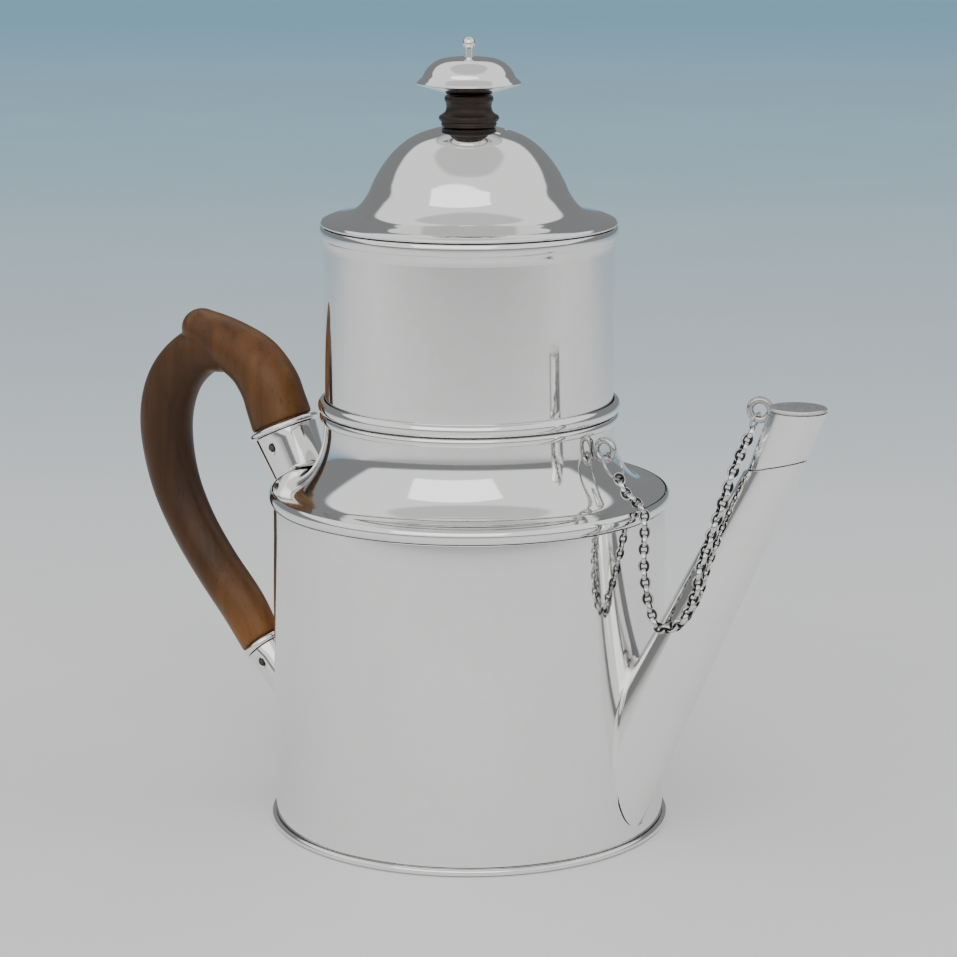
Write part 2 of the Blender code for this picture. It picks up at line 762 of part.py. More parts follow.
def make_carriers():
    lid = ("lid_dome", "lid_bezel", "finial_spool", "finial_button", "finial_bolt", "finial_nut")
    carrier("lid_lift_axis", (0, 0, LID_Z), lid)
    upper = ("upper_wall", "upper_foot_bead", "upper_rim", "upper_sleeve", "strainer_plate")
    carrier("upper_lift_axis", (0, 0, UPPER_LOW), upper + ("lid_lift_axis",))
    cap = ("cap_sleeve", "cap_top", "cap_loop", "cap_jump_ring", "chain_cap_run")
    carrier("cap_slide_axis", CAP_FOOT, cap)


def main():
    clear_scene()
    make_base()
    make_body_wall()
    make_shoulder()
    make_spout()
    make_cap()
    make_handle()
    make_upper_section()
    make_lid()
    make_finial()
    make_chain()
    make_carriers()


main()
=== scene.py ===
"""Looks for the silver drip coffee pot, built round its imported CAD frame.

The scene is in metres. Sizes below are in millimetres, and are scaled where a mesh is made. The origin is
the middle of the resting face, +Z is up, and +X points from the pot's axis to the spout.
"""

from math import acos, cos, degrees, radians, sin, sqrt, tau

import bmesh
import bpy
from mathutils import Matrix, Quaternion, Vector


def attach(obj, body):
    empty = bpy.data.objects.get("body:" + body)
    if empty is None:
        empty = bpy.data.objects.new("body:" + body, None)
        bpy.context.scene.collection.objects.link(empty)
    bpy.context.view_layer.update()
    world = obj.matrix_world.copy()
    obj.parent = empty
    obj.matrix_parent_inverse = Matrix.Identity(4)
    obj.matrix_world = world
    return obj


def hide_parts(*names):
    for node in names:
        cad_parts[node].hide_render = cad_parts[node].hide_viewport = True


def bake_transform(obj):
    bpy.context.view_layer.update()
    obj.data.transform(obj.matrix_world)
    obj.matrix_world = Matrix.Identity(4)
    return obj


MM = 0.001

# Turned pieces
FINE = 176  # steps round the large pieces
MEDIUM = 96
SMALL = 48
EASE = 0.22  # radius of a broken corner
WALL_EASE = 0.15
EASE_SHARE = 0.45  # the most of a short edge that a broken corner takes
BLUNT = radians(150)  # corners more open than this are left as they are
TINY = 1e-6
WELD = 1e-7  # in metres, as SLIVER is
SLIVER = 2e-6

# Pot, upper section, lid (the CAD's own sizes)
BODY_R = 57.0
WALL_TOP = 94.3
WIRE_R = 58.5
WIRE_H = 1.9
EDGE_R = 58.1
LEDGE_Z = 98.6
NECK_R = 41.9
CAVETTO_WIDE = 12.0
CAVETTO_HIGH = 17.6
NECK_TOP = 120.7
NECK_WIRE_R = 43.0
UPPER_R = 41.5
UPPER_LOW = 121.2
UPPER_TOP = 174.6
FOOT_BEAD_R = 43.5
RIM_R = 42.6
LID_Z = 174.9
LID_R = 42.3
DOME_TOP_Z = 202.6
VENTS = ((9.2, 5.4), (11.4, -2.6))
VENT_R = 0.8
BOLT_R = 1.1
BOLT_HOLE_R = 1.5
BOLT_LOW = 196.0  # inside the dome
BALL_R = 1.85
BALL_UP = 3.9  # over the button's top
SPOOL_H = 8.4
BUTTON_H = 10.3
SHEET = 0.8
GAP = 0.3
INSIDE = 0.06  # the foot wire's outside is this far within the CAD's
CLEAR = 0.02  # between faces that would otherwise touch

# Spout cone
SPOUT_SLOPE = radians(63.4)
SPOUT_DIRECTION = Vector((cos(SPOUT_SLOPE), 0.0, sin(SPOUT_SLOPE)))
SPOUT_X = 56.2
SPOUT_Z = 30.0
SPOUT_R = 11.0
SPOUT_TAPER = 0.041
SPOUT_WALL = 0.9
SPOUT_EASE = 0.18
BORE_INSET = 2.2  # the hole in the wall is this much smaller than the spout
BORE_ENDS = (-26.0, 34.0)  # along the spout's axis
SOLDER_Z = 15.0  # where the fillet of solder round the spout's foot starts
SOLDER_RISE = 8.0  # and how far above that it is full
SOLDER_FAR = 3.0  # on the far side it is full from this far past the middle
SOLDER_SUNK = -0.42  # where it lies when it has faded out, inside the wall
# The fillet's section: outwards from the wall, then away from the spout.
SOLDER_SECTION = (
    (-0.42, 1.3),
    (-0.27, 0.8),
    (-0.05, 0.4),
    (0.3, 0.12),
    (0.75, 0.0),
    (0.75, -0.5),
    (-0.42, -0.5),
)
SEAM_Z = 116.2
SEAM_TILT = radians(13.0)
CAP_TOP_Z = 131.3
CAP_SLOPE = radians(68.2)
CAP_DIRECTION = Vector((cos(CAP_SLOPE), 0.0, sin(CAP_SLOPE)))
CAP_TAPER = -0.018
CAP_PLATE_R = 7.4
CAP_PLATE_H = 1.2

# Handle and sockets
UPPER_CUP = {
    "mouth": (-65.9, 107.9),  # x, z of the mouth's middle
    "into": (0.43, -0.903),  # the way in from there
    "mouth_r": 9.7,
    "end_r": 8.0,
    "deep": 18.0,
    "rim_r": 10.9,
}
LOWER_CUP = {
    "mouth": (-74.3, 39.2),
    "into": (0.66, -0.751),
    "mouth_r": 6.4,
    "end_r": 5.2,
    "deep": 26.0,
    "rim_r": 7.1,
}
CUP_BORE = 9.0  # how deep a cup is hollow
CUP_STEPS = 8  # rows down a cup's outside
CUP_BEAD_H = 1.8
PIN_DEPTH = 4.2  # from a cup's mouth to its pin
PIN_R = 0.9
PIN_HOLE_R = 1.05
PIN_PROUD = 0.25
BAR_CLEAR = 2.4  # the shaped wood stops this far outside a cup's mouth
TENON_OUT = 4.5  # the turned tenon starts this far outside it
TENON_DEEP = 8.5
TENON_PLAY = 0.4
INNER_ARRIS = 0.22  # how far the grip's inner face is pulled to a soft edge
GRIP_VOXEL = 0.55
ROUNDED_END = (15, 30, 45, 58, 70, 80)  # degrees round the bar's end

# Chain
EYE = Vector((45.4, 0.0, 114.2))
EYE_RING = (2.75, 1.0)  # of each ring: mean radius, wire radius
NECK_RING = (4.0, 0.4)
NECK_RING_HANG = Vector((0.55, 0.0, -0.835)).normalized()
NECK_RING_DROP = 2.45  # from the low side of its loop to the ring's middle
CAP_RING = (2.3, 0.35)
CAP_RING_HANG = Vector((-0.38, -0.10, -0.92)).normalized()
CAP_RING_DROP = 0.55
CAP_LOOP = Vector((93.5, 1.0, 130.6))
CAP_LOOP_FACE = Vector((0.342, -0.940, 0.0))
CHAIN_ROUTE = (
    (50.3, -0.1, 106.4),
    (53.2, -0.8, 102.6),
    (56.4, -1.6, 101.0),
    (59.4, -2.4, 99.0),
    (60.5, -3.4, 95.0),
    (61.0, -4.6, 89.5),
    (62.2, -6.2, 81.6),
    (64.8, -8.1, 74.0),
    (69.0, -9.6, 68.2),
    (76.2, -10.5, 71.2),
    (80.4, -10.3, 79.5),
    (81.8, -10.0, 87.2),
    (84.0, -8.9, 95.4),
    (86.6, -7.3, 104.5),
    (88.6, -5.0, 113.5),
    (90.6, -2.1, 121.0),
    (91.6, -0.4, 124.4),
)
LINK_LONG = 1.58  # half length of a link's centre line
LINK_WIDE = 1.22
LINK_THICK = 0.42  # half the band's thickness
LINK_BAND = 0.56  # half the band's width
LINK_PITCH = 2.34
LINK_STEPS = 22
LINK_LEANS = (38, 54, 54)  # degrees, in turn, so that neighbours hang a little differently
# The band's section, across its thickness and its width, each from -1 to 1; the first run is left bright,
# and the second gets dark oxide and painted shade.
LINK_BRIGHT = ((1.0, -0.5), (1.0, 0.5), (0.7, 1.0), (0.5, 1.0))
LINK_SHADED = ((-0.7, 1.0), (-1.0, 0.5), (-1.0, -0.5), (-0.7, -1.0), (0.5, -1.0))
LINK_SECTION = LINK_BRIGHT + LINK_SHADED + ((0.7, -1.0),)
ROUTE_STEPS = 24

# Stage, in metres
CAMERA_SIDE = 33.0  # degrees round from -Y
CAMERA_PLACE = (0.46567, -0.71706, 0.28754)
CAMERA_TURN = (77.67, 0.0, 32.82)
CAMERA_LENS = 113.69
FLOOR_HALF = 12.0
FLOOR_DROP = 0.0002
FLOOR_SPAN = (-1.2, 3.6)  # from in front of the pot to far behind it
FLOOR_TONES = (
    (0.0, (0.50, 0.50, 0.50)),
    (0.20, (0.92, 0.92, 0.92)),
    (0.30, (0.88, 0.885, 0.89)),
    (0.40, (0.60, 0.69, 0.74)),
    (0.60, (0.36, 0.56, 0.67)),
    (1.0, (0.20, 0.43, 0.60)),
)
DIM = (0.235, 0.24, 0.245)  # the light along the horizon and behind the pot
TENT = (1.14, 1.14, 1.14)
TENT_TOP = 0.55  # the tent's brightness straight overhead, as a share of the rest
TENT_FOOT = (0.10, 0.13)  # the heights between which its light comes up
TENT_BACK = (0.16, 0.24)
TENT_LEAN = 0.55  # how far its back edge leans over the pot
TENT_CROWN = (0.86, 0.90)
KEY_PLACE = (0.45, -1.20, 1.05)
KEY_TARGET = (0.0, 0.0, 0.12)
KEY_SIZE = (1.8, 1.0)
KEY_POWER = 5.6

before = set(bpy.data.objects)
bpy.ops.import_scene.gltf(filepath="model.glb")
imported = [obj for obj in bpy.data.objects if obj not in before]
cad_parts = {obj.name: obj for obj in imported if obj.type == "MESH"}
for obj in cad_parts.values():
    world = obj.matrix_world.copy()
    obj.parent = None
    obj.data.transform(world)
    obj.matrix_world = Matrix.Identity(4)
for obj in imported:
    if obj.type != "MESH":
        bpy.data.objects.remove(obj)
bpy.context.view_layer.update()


# ---------------------------------------------------------------- materials


class Nodes:
    """A short way to lay out one material's nodes."""

    def __init__(self, name):
        self.material = bpy.data.materials.new(name)
        self.material.use_nodes = True
        self.tree = self.material.node_tree
        self.shader = self.tree.nodes["Principled BSDF"]

    def add(self, kind, **settings):
        node = self.tree.nodes.new(kind)
        for key, value in settings.items():
            if key in node.inputs:
                node.inputs[key].default_value = value
            else:
                setattr(node, key, value)
        return node

    def link(self, out, into):
        self.tree.links.new(out, into)

    def coords(self, scale=(1.0, 1.0, 1.0), turn=(0.0, 0.0, 0.0)):
        """The object's own coordinates, scaled per axis after a turn."""
        source = self.add("ShaderNodeTexCoord")
        mapping = self.add("ShaderNodeMapping")
        mapping.vector_type = "POINT"
        mapping.inputs["Rotation"].default_value = turn
        mapping.inputs["Scale"].default_value = scale
        self.link(source.outputs["Object"], mapping.inputs["Vector"])
        return mapping.outputs["Vector"]

    def noise(self, vector, scale, detail=3.0, roughness=0.55, distortion=0.0):
        node = self.add("ShaderNodeTexNoise")
        node.inputs["Scale"].default_value = scale
        node.inputs["Detail"].default_value = detail
        node.inputs["Roughness"].default_value = roughness
        node.inputs["Distortion"].default_value = distortion
        self.link(vector, node.inputs["Vector"])
        return node.outputs["Fac"]

    def ramp(self, factor, stops):
        node = self.add("ShaderNodeValToRGB")
        ramp = node.color_ramp
        while len(ramp.elements) < len(stops):
            ramp.elements.new(0.5)
        for element, (place, colour) in zip(ramp.elements, stops):
            element.position = place
            element.color = (*(colour if isinstance(colour, tuple) else (colour,) * 3), 1.0)
        self.link(factor, node.inputs["Fac"])
        return node.outputs["Color"]

    def span(self, factor, low, high, from_low=0.0, from_high=1.0):
        node = self.add("ShaderNodeMapRange")
        node.inputs["From Min"].default_value = from_low
        node.inputs["From Max"].default_value = from_high
        node.inputs["To Min"].default_value = low
        node.inputs["To Max"].default_value = high
        self.link(factor, node.inputs["Value"])
        return node.outputs["Result"]

    def mix(self, factor, first, second, blend="MIX"):
        node = self.add("ShaderNodeMix")
        node.data_type = "RGBA"
        node.blend_type = blend
        if isinstance(factor, float):
            node.inputs["Factor"].default_value = factor
        else:
            self.link(factor, node.inputs["Factor"])
        for value, slot in ((first, "A"), (second, "B")):
            socket = next(s for s in node.inputs if s.name == slot and s.type == "RGBA")
            if isinstance(value, tuple):
                socket.default_value = (*value, 1.0)
            else:
                self.link(value, socket)
        return next(s for s in node.outputs if s.type == "RGBA")

    def math(self, operation, first, second):
        node = self.add("ShaderNodeMath", operation=operation)
        for place, value in enumerate((first, second)):
            if isinstance(value, (int, float)):
                node.inputs[place].default_value = value
            else:
                self.link(value, node.inputs[place])
        return node.outputs["Value"]

    def bump(self, height, strength, distance, below=None):
        node = self.add("ShaderNodeBump")
        node.inputs["Strength"].default_value = strength
        node.inputs["Distance"].default_value = distance
        self.link(height, node.inputs["Height"])
        if below:
            self.link(below, node.inputs["Normal"])
        return node.outputs["Normal"]


def silver(
    name, polish=0.05, tone=0.86, tarnish=0.22, dents=0.25, scratches=0.4, bloom_tone=0.86
):
    """Polished sterling: soft buffing waves, hairline scratches, and a warm grey bloom in patches."""
    n = Nodes(name)
    place = n.coords()
    wide = n.noise(place, scale=38.0, detail=4.0)
    fine = n.noise(place, scale=260.0, detail=5.0, roughness=0.6)
    bloom = n.span(n.math("MULTIPLY", wide, fine), 0.0, 1.0, from_low=0.20, from_high=0.40)
    bright = (tone, tone * 0.996, tone * 0.988)
    worn = tuple(channel * bloom_tone for channel in (tone, tone * 0.985, tone * 0.955))
    share = n.math("MULTIPLY", bloom, tarnish)
    n.link(n.mix(share, bright, worn), n.shader.inputs["Base Color"])
    n.shader.inputs["Metallic"].default_value = 1.0
    upright = n.coords(scale=(1.0, 1.0, 26.0), turn=(0.3, 0.5, 0.0))
    level = n.coords(scale=(30.0, 1.0, 1.0), turn=(0.2, -0.6, 0.9))
    hair_a = n.noise(upright, scale=420.0, detail=2.0, roughness=0.5)
    hair_b = n.noise(level, scale=380.0, detail=2.0, roughness=0.5)
    hair = n.math("MAXIMUM", hair_a, hair_b)
    cloud = n.span(fine, 0.0, polish * 0.6, from_low=0.3, from_high=0.7)
    lines = n.span(hair, polish, polish * 1.8, from_low=0.60, from_high=0.88)
    n.link(n.math("ADD", cloud, lines), n.shader.inputs["Roughness"])
    dent = n.noise(place, scale=16.0, detail=1.0, roughness=0.4)
    waves = n.bump(dent, strength=dents, distance=0.0005)
    scored = n.bump(hair, strength=scratches * 0.03, distance=0.0001, below=waves)
    n.link(scored, n.shader.inputs["Normal"])
    return n.material


def wood(name, dark, middle, light, polish, grain_turn, pore=0.5, shade_centre=None):
    """Polished hardwood: long soft grain bands, short dark pores and a rubbed sheen."""
    n = Nodes(name)
    along = n.coords(scale=(1.0, 1.0, 0.10), turn=grain_turn)
    bands = n.noise(along, scale=150.0, detail=4.0, roughness=0.55, distortion=0.9)
    broad = n.noise(along, scale=38.0, detail=2.0, roughness=0.5, distortion=0.4)
    mixed = n.math("ADD", n.math("MULTIPLY", bands, 0.55), n.math("MULTIPLY", broad, 0.45))
    colour = n.ramp(mixed, ((0.30, dark), (0.50, middle), (0.70, light)))
    pore_place = n.coords(scale=(1.0, 1.0, 0.055), turn=grain_turn)
    pores = n.noise(pore_place, scale=1500.0, detail=2.0, roughness=0.5)
    pits = n.span(pores, 0.0, 1.0, from_low=0.60, from_high=0.72)
    shade = tuple(channel * 0.35 for channel in dark)
    grained = n.mix(n.math("MULTIPLY", pits, pore), colour, shade)
    if shade_centre:
        # Painted shade: the wood is darkened round a point just inside the grip's inner face, at its far
        # side, and lightened towards the bar's ends.
        reach = n.add("ShaderNodeVectorMath", operation="DISTANCE")
        n.link(n.coords(), reach.inputs[0])
        reach.inputs[1].default_value = [value * MM for value in shade_centre]
        away = n.span(reach.outputs["Value"], 0.0, 1.0, from_low=0.012, from_high=0.058)
        painted_shade = n.ramp(away, ((0.0, 0.34), (0.45, 0.55), (1.0, 1.30)))
        grained = n.mix(1.0, grained, painted_shade, "MULTIPLY")
    n.link(grained, n.shader.inputs["Base Color"])
    hand = n.noise(n.coords(), scale=60.0)
    rubbed = n.span(hand, polish, polish + 0.16, from_low=0.3, from_high=0.7)
    rough = n.math("ADD", rubbed, n.math("MULTIPLY", pits, 0.12))
    n.link(rough, n.shader.inputs["Roughness"])
    n.shader.inputs["Specular IOR Level"].default_value = 0.30
    swell = n.bump(broad, strength=0.12, distance=0.0004)
    open_grain = n.bump(n.math("SUBTRACT", 1.0, pits), strength=0.16, distance=0.00008, below=swell)
    n.link(open_grain, n.shader.inputs["Normal"])
    return n.material


# ---------------------------------------------------------------- mesh helpers


def finish_piece(name, bm, material, angle=38):
    bmesh.ops.recalc_face_normals(bm, faces=bm.faces)
    mesh = bpy.data.meshes.new(name)
    bm.to_mesh(mesh)
    bm.free()
    mesh.shade_smooth()
    mesh.set_sharp_from_angle(angle=radians(angle))
    made = bpy.data.objects.new(name, mesh)
    bpy.context.scene.collection.objects.link(made)
    mesh.materials.append(material)
    return made


def eased(outline, radius, steps=3):
    """The outline with each sharp corner cut to a small round, so that edges catch the light."""
    points = [Vector(p) for p in outline]
    made = []
    count = len(points)
    for i, at in enumerate(points):
        before = points[i - 1]
        after = points[(i + 1) % count]
        a, b = before - at, after - at
        if min(at.x, a.length, b.length) < TINY or a.angle(b) > BLUNT:
            made.append(at)
            continue
        reach = min(radius, a.length * EASE_SHARE, b.length * EASE_SHARE)
        start, end = at + a.normalized() * reach, at + b.normalized() * reach
        for k in range(steps + 1):
            t = k / steps
            made.append(start * (1 - t) ** 2 + at * 2 * t * (1 - t) + end * t**2)
    return [(p.x, p.y) for p in made]


def turned(name, outline, material, steps=FINE, ease=EASE):
    """A closed solid turned round local +Z from a closed outline of (radius, height) points."""
    points = eased(outline, ease) if ease else outline
    bm = bmesh.new()
    verts = [bm.verts.new((r * MM, 0.0, z * MM)) for r, z in points]
    edges = [bm.edges.new((verts[i - 1], verts[i])) for i in range(len(verts))]
    bmesh.ops.spin(
        bm, geom=verts + edges, cent=(0, 0, 0), axis=(0, 0, 1), angle=tau, steps=steps, use_merge=True
    )
    bmesh.ops.remove_doubles(bm, verts=bm.verts, dist=WELD)
    bmesh.ops.dissolve_degenerate(bm, edges=bm.edges, dist=WELD)
    stray = [e for e in bm.edges if not e.link_faces]
    bmesh.ops.delete(bm, geom=stray, context="EDGES")
    return finish_piece(name, bm, material)


def arc(centre_r, centre_z, radius_r, radius_z, start, end, steps):
    """Part of an ellipse in the (radius, height) plane, between two angles in degrees."""
    angles = [radians(start + (end - start) * i / steps) for i in range(steps + 1)]
    return [(centre_r + radius_r * cos(a), centre_z + radius_z * sin(a)) for a in angles]


def half_round(inner_r, outer_r, low, high, steps=12):
    """The section of a half-round wire, with its flat side inwards."""
    flat = inner_r + 0.3
    middle, half = (low + high) / 2, (high - low) / 2
    return [(inner_r, high), (inner_r, low)] + arc(flat, middle, outer_r - flat, half, -90, 90, steps)


def ring(name, mean_r, wire_r, material, sides=16):
    outline = arc(mean_r, 0.0, wire_r, wire_r, 0, 360 - 360 / sides, sides - 1)
    return turned(name, outline, material, SMALL, 0)


def settle(thing):
    """Moves the object's placement into its mesh, so that its origin is the pot's."""
    thing.data.transform(thing.matrix_basis)
    thing.matrix_basis = Matrix.Identity(4)
    return thing


def pose(thing, place, up):
    turn = Vector((0, 0, 1)).rotation_difference(Vector(up).normalized())
    thing.matrix_basis = Matrix.Translation(Vector(place) * MM) @ turn.to_matrix().to_4x4()
    return settle(thing)


def rod(name, start, end, radius, steps=SMALL):
    start, end = Vector(start), Vector(end)
    length = (end - start).length
    made = turned(name, [(0, length), (radius, length), (radius, 0), (0, 0)], PLAIN, steps, 0)
    return pose(made, start, end - start)


def combine(target, other, operation="DIFFERENCE", keep=False):
    """Applies a Boolean at once and removes the other piece."""
    made = target.modifiers.new("cut", "BOOLEAN")
    made.operation = operation
    made.object = other
    made.solver = "EXACT"
    apply_modifiers(target)
    merge_slivers(target)
    if not keep:
        bpy.data.objects.remove(other)
    return target


def merge_slivers(thing):
    """Closes up the tiny edges that a Boolean leaves."""
    bm = bmesh.new()
    bm.from_mesh(thing.data)
    bmesh.ops.remove_doubles(bm, verts=bm.verts, dist=SLIVER)
    bmesh.ops.dissolve_degenerate(bm, edges=bm.edges, dist=SLIVER)
    bm.to_mesh(thing.data)
    bm.free()


def apply_modifiers(thing):
    graph = bpy.context.evaluated_depsgraph_get()
    mesh = bpy.data.meshes.new_from_object(thing.evaluated_get(graph))
    old = thing.data
    thing.modifiers.clear()
    thing.data = mesh
    mesh.name = thing.name
    if old.users == 0:
        bpy.data.meshes.remove(old)


def smooth_curve(points, per_span):
    """A Catmull-Rom curve through the points, with per_span steps between neighbours."""
    knots = [Vector(p) for p in points]
    knots = [knots[0] * 2 - knots[1]] + knots + [knots[-1] * 2 - knots[-2]]
    made = []
    for i in range(1, len(knots) - 2):
        a, b, c, d = knots[i - 1 : i + 3]
        for step in range(per_span):
            t = step / per_span
            square = (2 * a - 5 * b + 4 * c - d) * t**2
            cube = (3 * b - a - 3 * c + d) * t**3
            made.append(0.5 * (2 * b + (c - a) * t + square + cube))
    made.append(knots[-2])
    return made


def resurface(material, *nodes):
    """Gives CAD nodes that stay in view a new material."""
    for node in nodes:
        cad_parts[node].data.materials.clear()
        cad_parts[node].data.materials.append(material)


def place(piece, body, slot, *nodes):
    """Puts a piece on its body and hides the CAD nodes that it stands for; its slot is not used."""
    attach(piece, body)
    if nodes:
        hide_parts(*nodes)
    return piece


# ---------------------------------------------------------------- pot body


def make_base():
    lap = BODY_R - 0.1
    round_r, half = BODY_R + 0.6, WIRE_H / 2
    wire = [(lap, WIRE_H), (lap, 0.0), (BODY_R + 0.9, 0.0)]
    wire += arc(round_r, half, WIRE_R - INSIDE - round_r, half, -60, 90, 12)
    place(turned("foot_wire", wire, BRIGHT), "pot", "silver", "base_wire")
    edge = BODY_R - 0.4
    plate = [(0, WIRE_H), (edge, WIRE_H), (edge, 0), (0, 0)]
    place(turned("underside", plate, WORN), "pot", "silver", "base_plate")


def sheet_wall(name, radius, low, high, levels):
    """A straight cylinder of sheet, with edge loops up its outside."""
    outline = [(radius - SHEET, high), (radius - SHEET, low)]
    outline += [(radius, low + (high - low) * k / levels) for k in range(levels + 1)]
    return turned(name, outline, POLISHED, FINE, WALL_EASE)


def make_body_wall():
    wall = sheet_wall("pot_wall", BODY_R, WIRE_H + GAP, WALL_TOP, 12)
    low, high = BORE_ENDS
    combine(wall, cone_solid("spout_bore", BORE_INSET, square_plane(low), square_plane(high)))
    place(wall, "pot", "silver", "body_wall")


def shoulder_curve(offset, steps=28):
    centre_r = NECK_R + CAVETTO_WIDE
    centre_z = LEDGE_Z + CAVETTO_HIGH
    return arc(centre_r, centre_z, CAVETTO_WIDE + offset, CAVETTO_HIGH + offset, -90, -180, steps)


def make_shoulder():
    edge_r, edge_z = BODY_R - 0.3, LEDGE_Z - 0.25
    outer = [(edge_r, edge_z)] + shoulder_curve(0.0) + [(NECK_R, NECK_TOP)]
    inner = [(edge_r, edge_z - SHEET)] + shoulder_curve(SHEET, 10) + [(NECK_R - SHEET, NECK_TOP)]
    skin = turned("shoulder_skin", outer + inner[::-1], POLISHED, FINE, 0)
    place(skin, "pot", "silver", "shoulder")
    low, high = WALL_TOP + GAP, LEDGE_Z - 1.6
    lap = BODY_R - 0.1
    outline = [(lap - SHEET, high), (lap - SHEET, low), (BODY_R + 0.2, low)]
    outline += arc(lap, low + 1.9, EDGE_R - lap, 1.9, -70, 60, 14)
    outline += [(BODY_R + 0.15, LEDGE_Z - 0.1), (BODY_R, high)]
    place(turned("shoulder_moulding", outline, BRIGHT), "pot", "silver", "shoulder_bead")
    wire = half_round(NECK_R + GAP, NECK_WIRE_R + 0.1, NECK_TOP - 2.3, NECK_TOP + 0.1)
    place(turned("neck_wire", wire, BRIGHT), "pot", "silver", "neck_rim_wire")


# ---------------------------------------------------------------- spout


def spout_axis(along):
    return Vector((SPOUT_X, 0.0, SPOUT_Z)) + SPOUT_DIRECTION * along


def along_at(z):
    return (z - SPOUT_Z) / sin(SPOUT_SLOPE)


SPOUT_CONE = (spout_axis(0), SPOUT_DIRECTION, SPOUT_R, SPOUT_TAPER)
CAP_FOOT = spout_axis(along_at(SEAM_Z))
CAP_CONE = (CAP_FOOT, CAP_DIRECTION, SPOUT_R - SPOUT_TAPER * along_at(SEAM_Z), CAP_TAPER)


def cone_lines(cone, inset, sides):
    """The straight lines of a cone: (start, direction) pairs round it."""
    origin, direction, radius, taper = cone
    side = Vector((0, 1, 0))
    out = side.cross(direction)
    made = []
    for k in range(sides):
        a = tau * k / sides
        spoke = out * cos(a) + side * sin(a)
        made.append((origin + spoke * (radius - inset), direction - spoke * taper))
    return made


def at_plane(line, plane):
    start, along = line
    point, normal = plane
    return start + along * ((point - start).dot(normal) / along.dot(normal))


def at_wall(line, radius):
    """Where a line of the cone leaves a cylinder of this radius round the pot's axis."""
    start, along = line
    a = along.x**2 + along.y**2
    b = start.x * along.x + start.y * along.y
    c = start.x**2 + start.y**2 - radius**2
    return start + along * ((-b + sqrt(max(b * b - a * c, 0.0))) / a)


def square_plane(along):
    return spout_axis(along), SPOUT_DIRECTION


def seam_plane(offset):
    return spout_axis(along_at(SEAM_Z) + offset), Vector((-sin(SEAM_TILT), 0.0, cos(SEAM_TILT)))


def bridge(bm, loops, closed_ring=False):
    """Joins each loop of points to the next with faces."""
    made = [[bm.verts.new(p * MM) for p in loop] for loop in loops]
    pairs = list(zip(made, made[1:])) + ([(made[-1], made[0])] if closed_ring else [])
    for first, second in pairs:
        for k in range(len(first)):
            bm.faces.new((first[k - 1], first[k], second[k], second[k - 1]))
    return made


def cone_solid(name, inset, low, high, sides=64):
    lines = cone_lines(SPOUT_CONE, inset, sides)
    bm = bmesh.new()
    made = bridge(bm, [[at_plane(line, plane) for line in lines] for plane in (low, high)])
    bm.faces.new(made[0])
    bm.faces.new(made[1])
    return finish_piece(name, bm, PLAIN)


def blended(first, second, share):
    return [a.lerp(b, share) for a, b in zip(first, second)]


def make_spout():
    outer = cone_lines(SPOUT_CONE, 0.0, MEDIUM)
    inner = cone_lines(SPOUT_CONE, SPOUT_WALL, MEDIUM)
    wall_r = BODY_R + GAP + CLEAR
    foot = [at_wall(line, wall_r) for line in outer]
    mouth = [at_plane(line, seam_plane(-GAP / 2)) for line in outer]
    inside_mouth = [at_plane(line, seam_plane(-GAP / 2)) for line in inner]
    inside_foot = [at_wall(line, wall_r) for line in inner]
    loops = [foot] + [blended(foot, mouth, k / 12) for k in range(1, 12)]
    loops += [[p - SPOUT_DIRECTION * SPOUT_EASE for p in mouth], blended(mouth, inside_mouth, 0.2)]
    loops += [blended(mouth, inside_mouth, 0.9), inside_foot]
    bm = bmesh.new()
    bridge(bm, loops, True)
    place(finish_piece("spout", bm, POLISHED), "pot", "silver", "spout_tube")
    resurface(WORN, "spout_collar")
    make_spout_solder(foot)


def make_spout_solder(foot):
    """The fillet of solder that runs round the spout's foot and fills its joint with the wall."""
    bm = bmesh.new()
    loops = []
    count = len(foot)
    middle = sum(foot, Vector()) / count
    for i, at in enumerate(foot):
        out = Vector((at.x, at.y, 0)).normalized()
        along = (foot[(i + 1) % count] - foot[i - 1]).normalized()
        away = along.cross(out).normalized()
        if away.dot(at - middle) < 0:
            away = -away
        # Close to the spout the fillet climbs along it, and further off it stands out from the wall.
        climb = SPOUT_DIRECTION / max(SPOUT_DIRECTION.dot(out), 0.35)
        # It thins out round the low end of the joint, where the joint's line shows.
        shown = min(max((at.z - SOLDER_Z) / SOLDER_RISE, at.y / SOLDER_FAR, 0.05), 1.0)
        loop = []
        for lift, clear in SOLDER_SECTION:
            lift = SOLDER_SUNK + (lift - SOLDER_SUNK) * shown
            loop.append(at + away * clear + (climb if clear <= 0.12 else out) * lift)
        loops.append(loop)
    bridge(bm, loops, True)
    place(finish_piece("spout_solder", bm, POLISHED, 80), "pot", "silver")


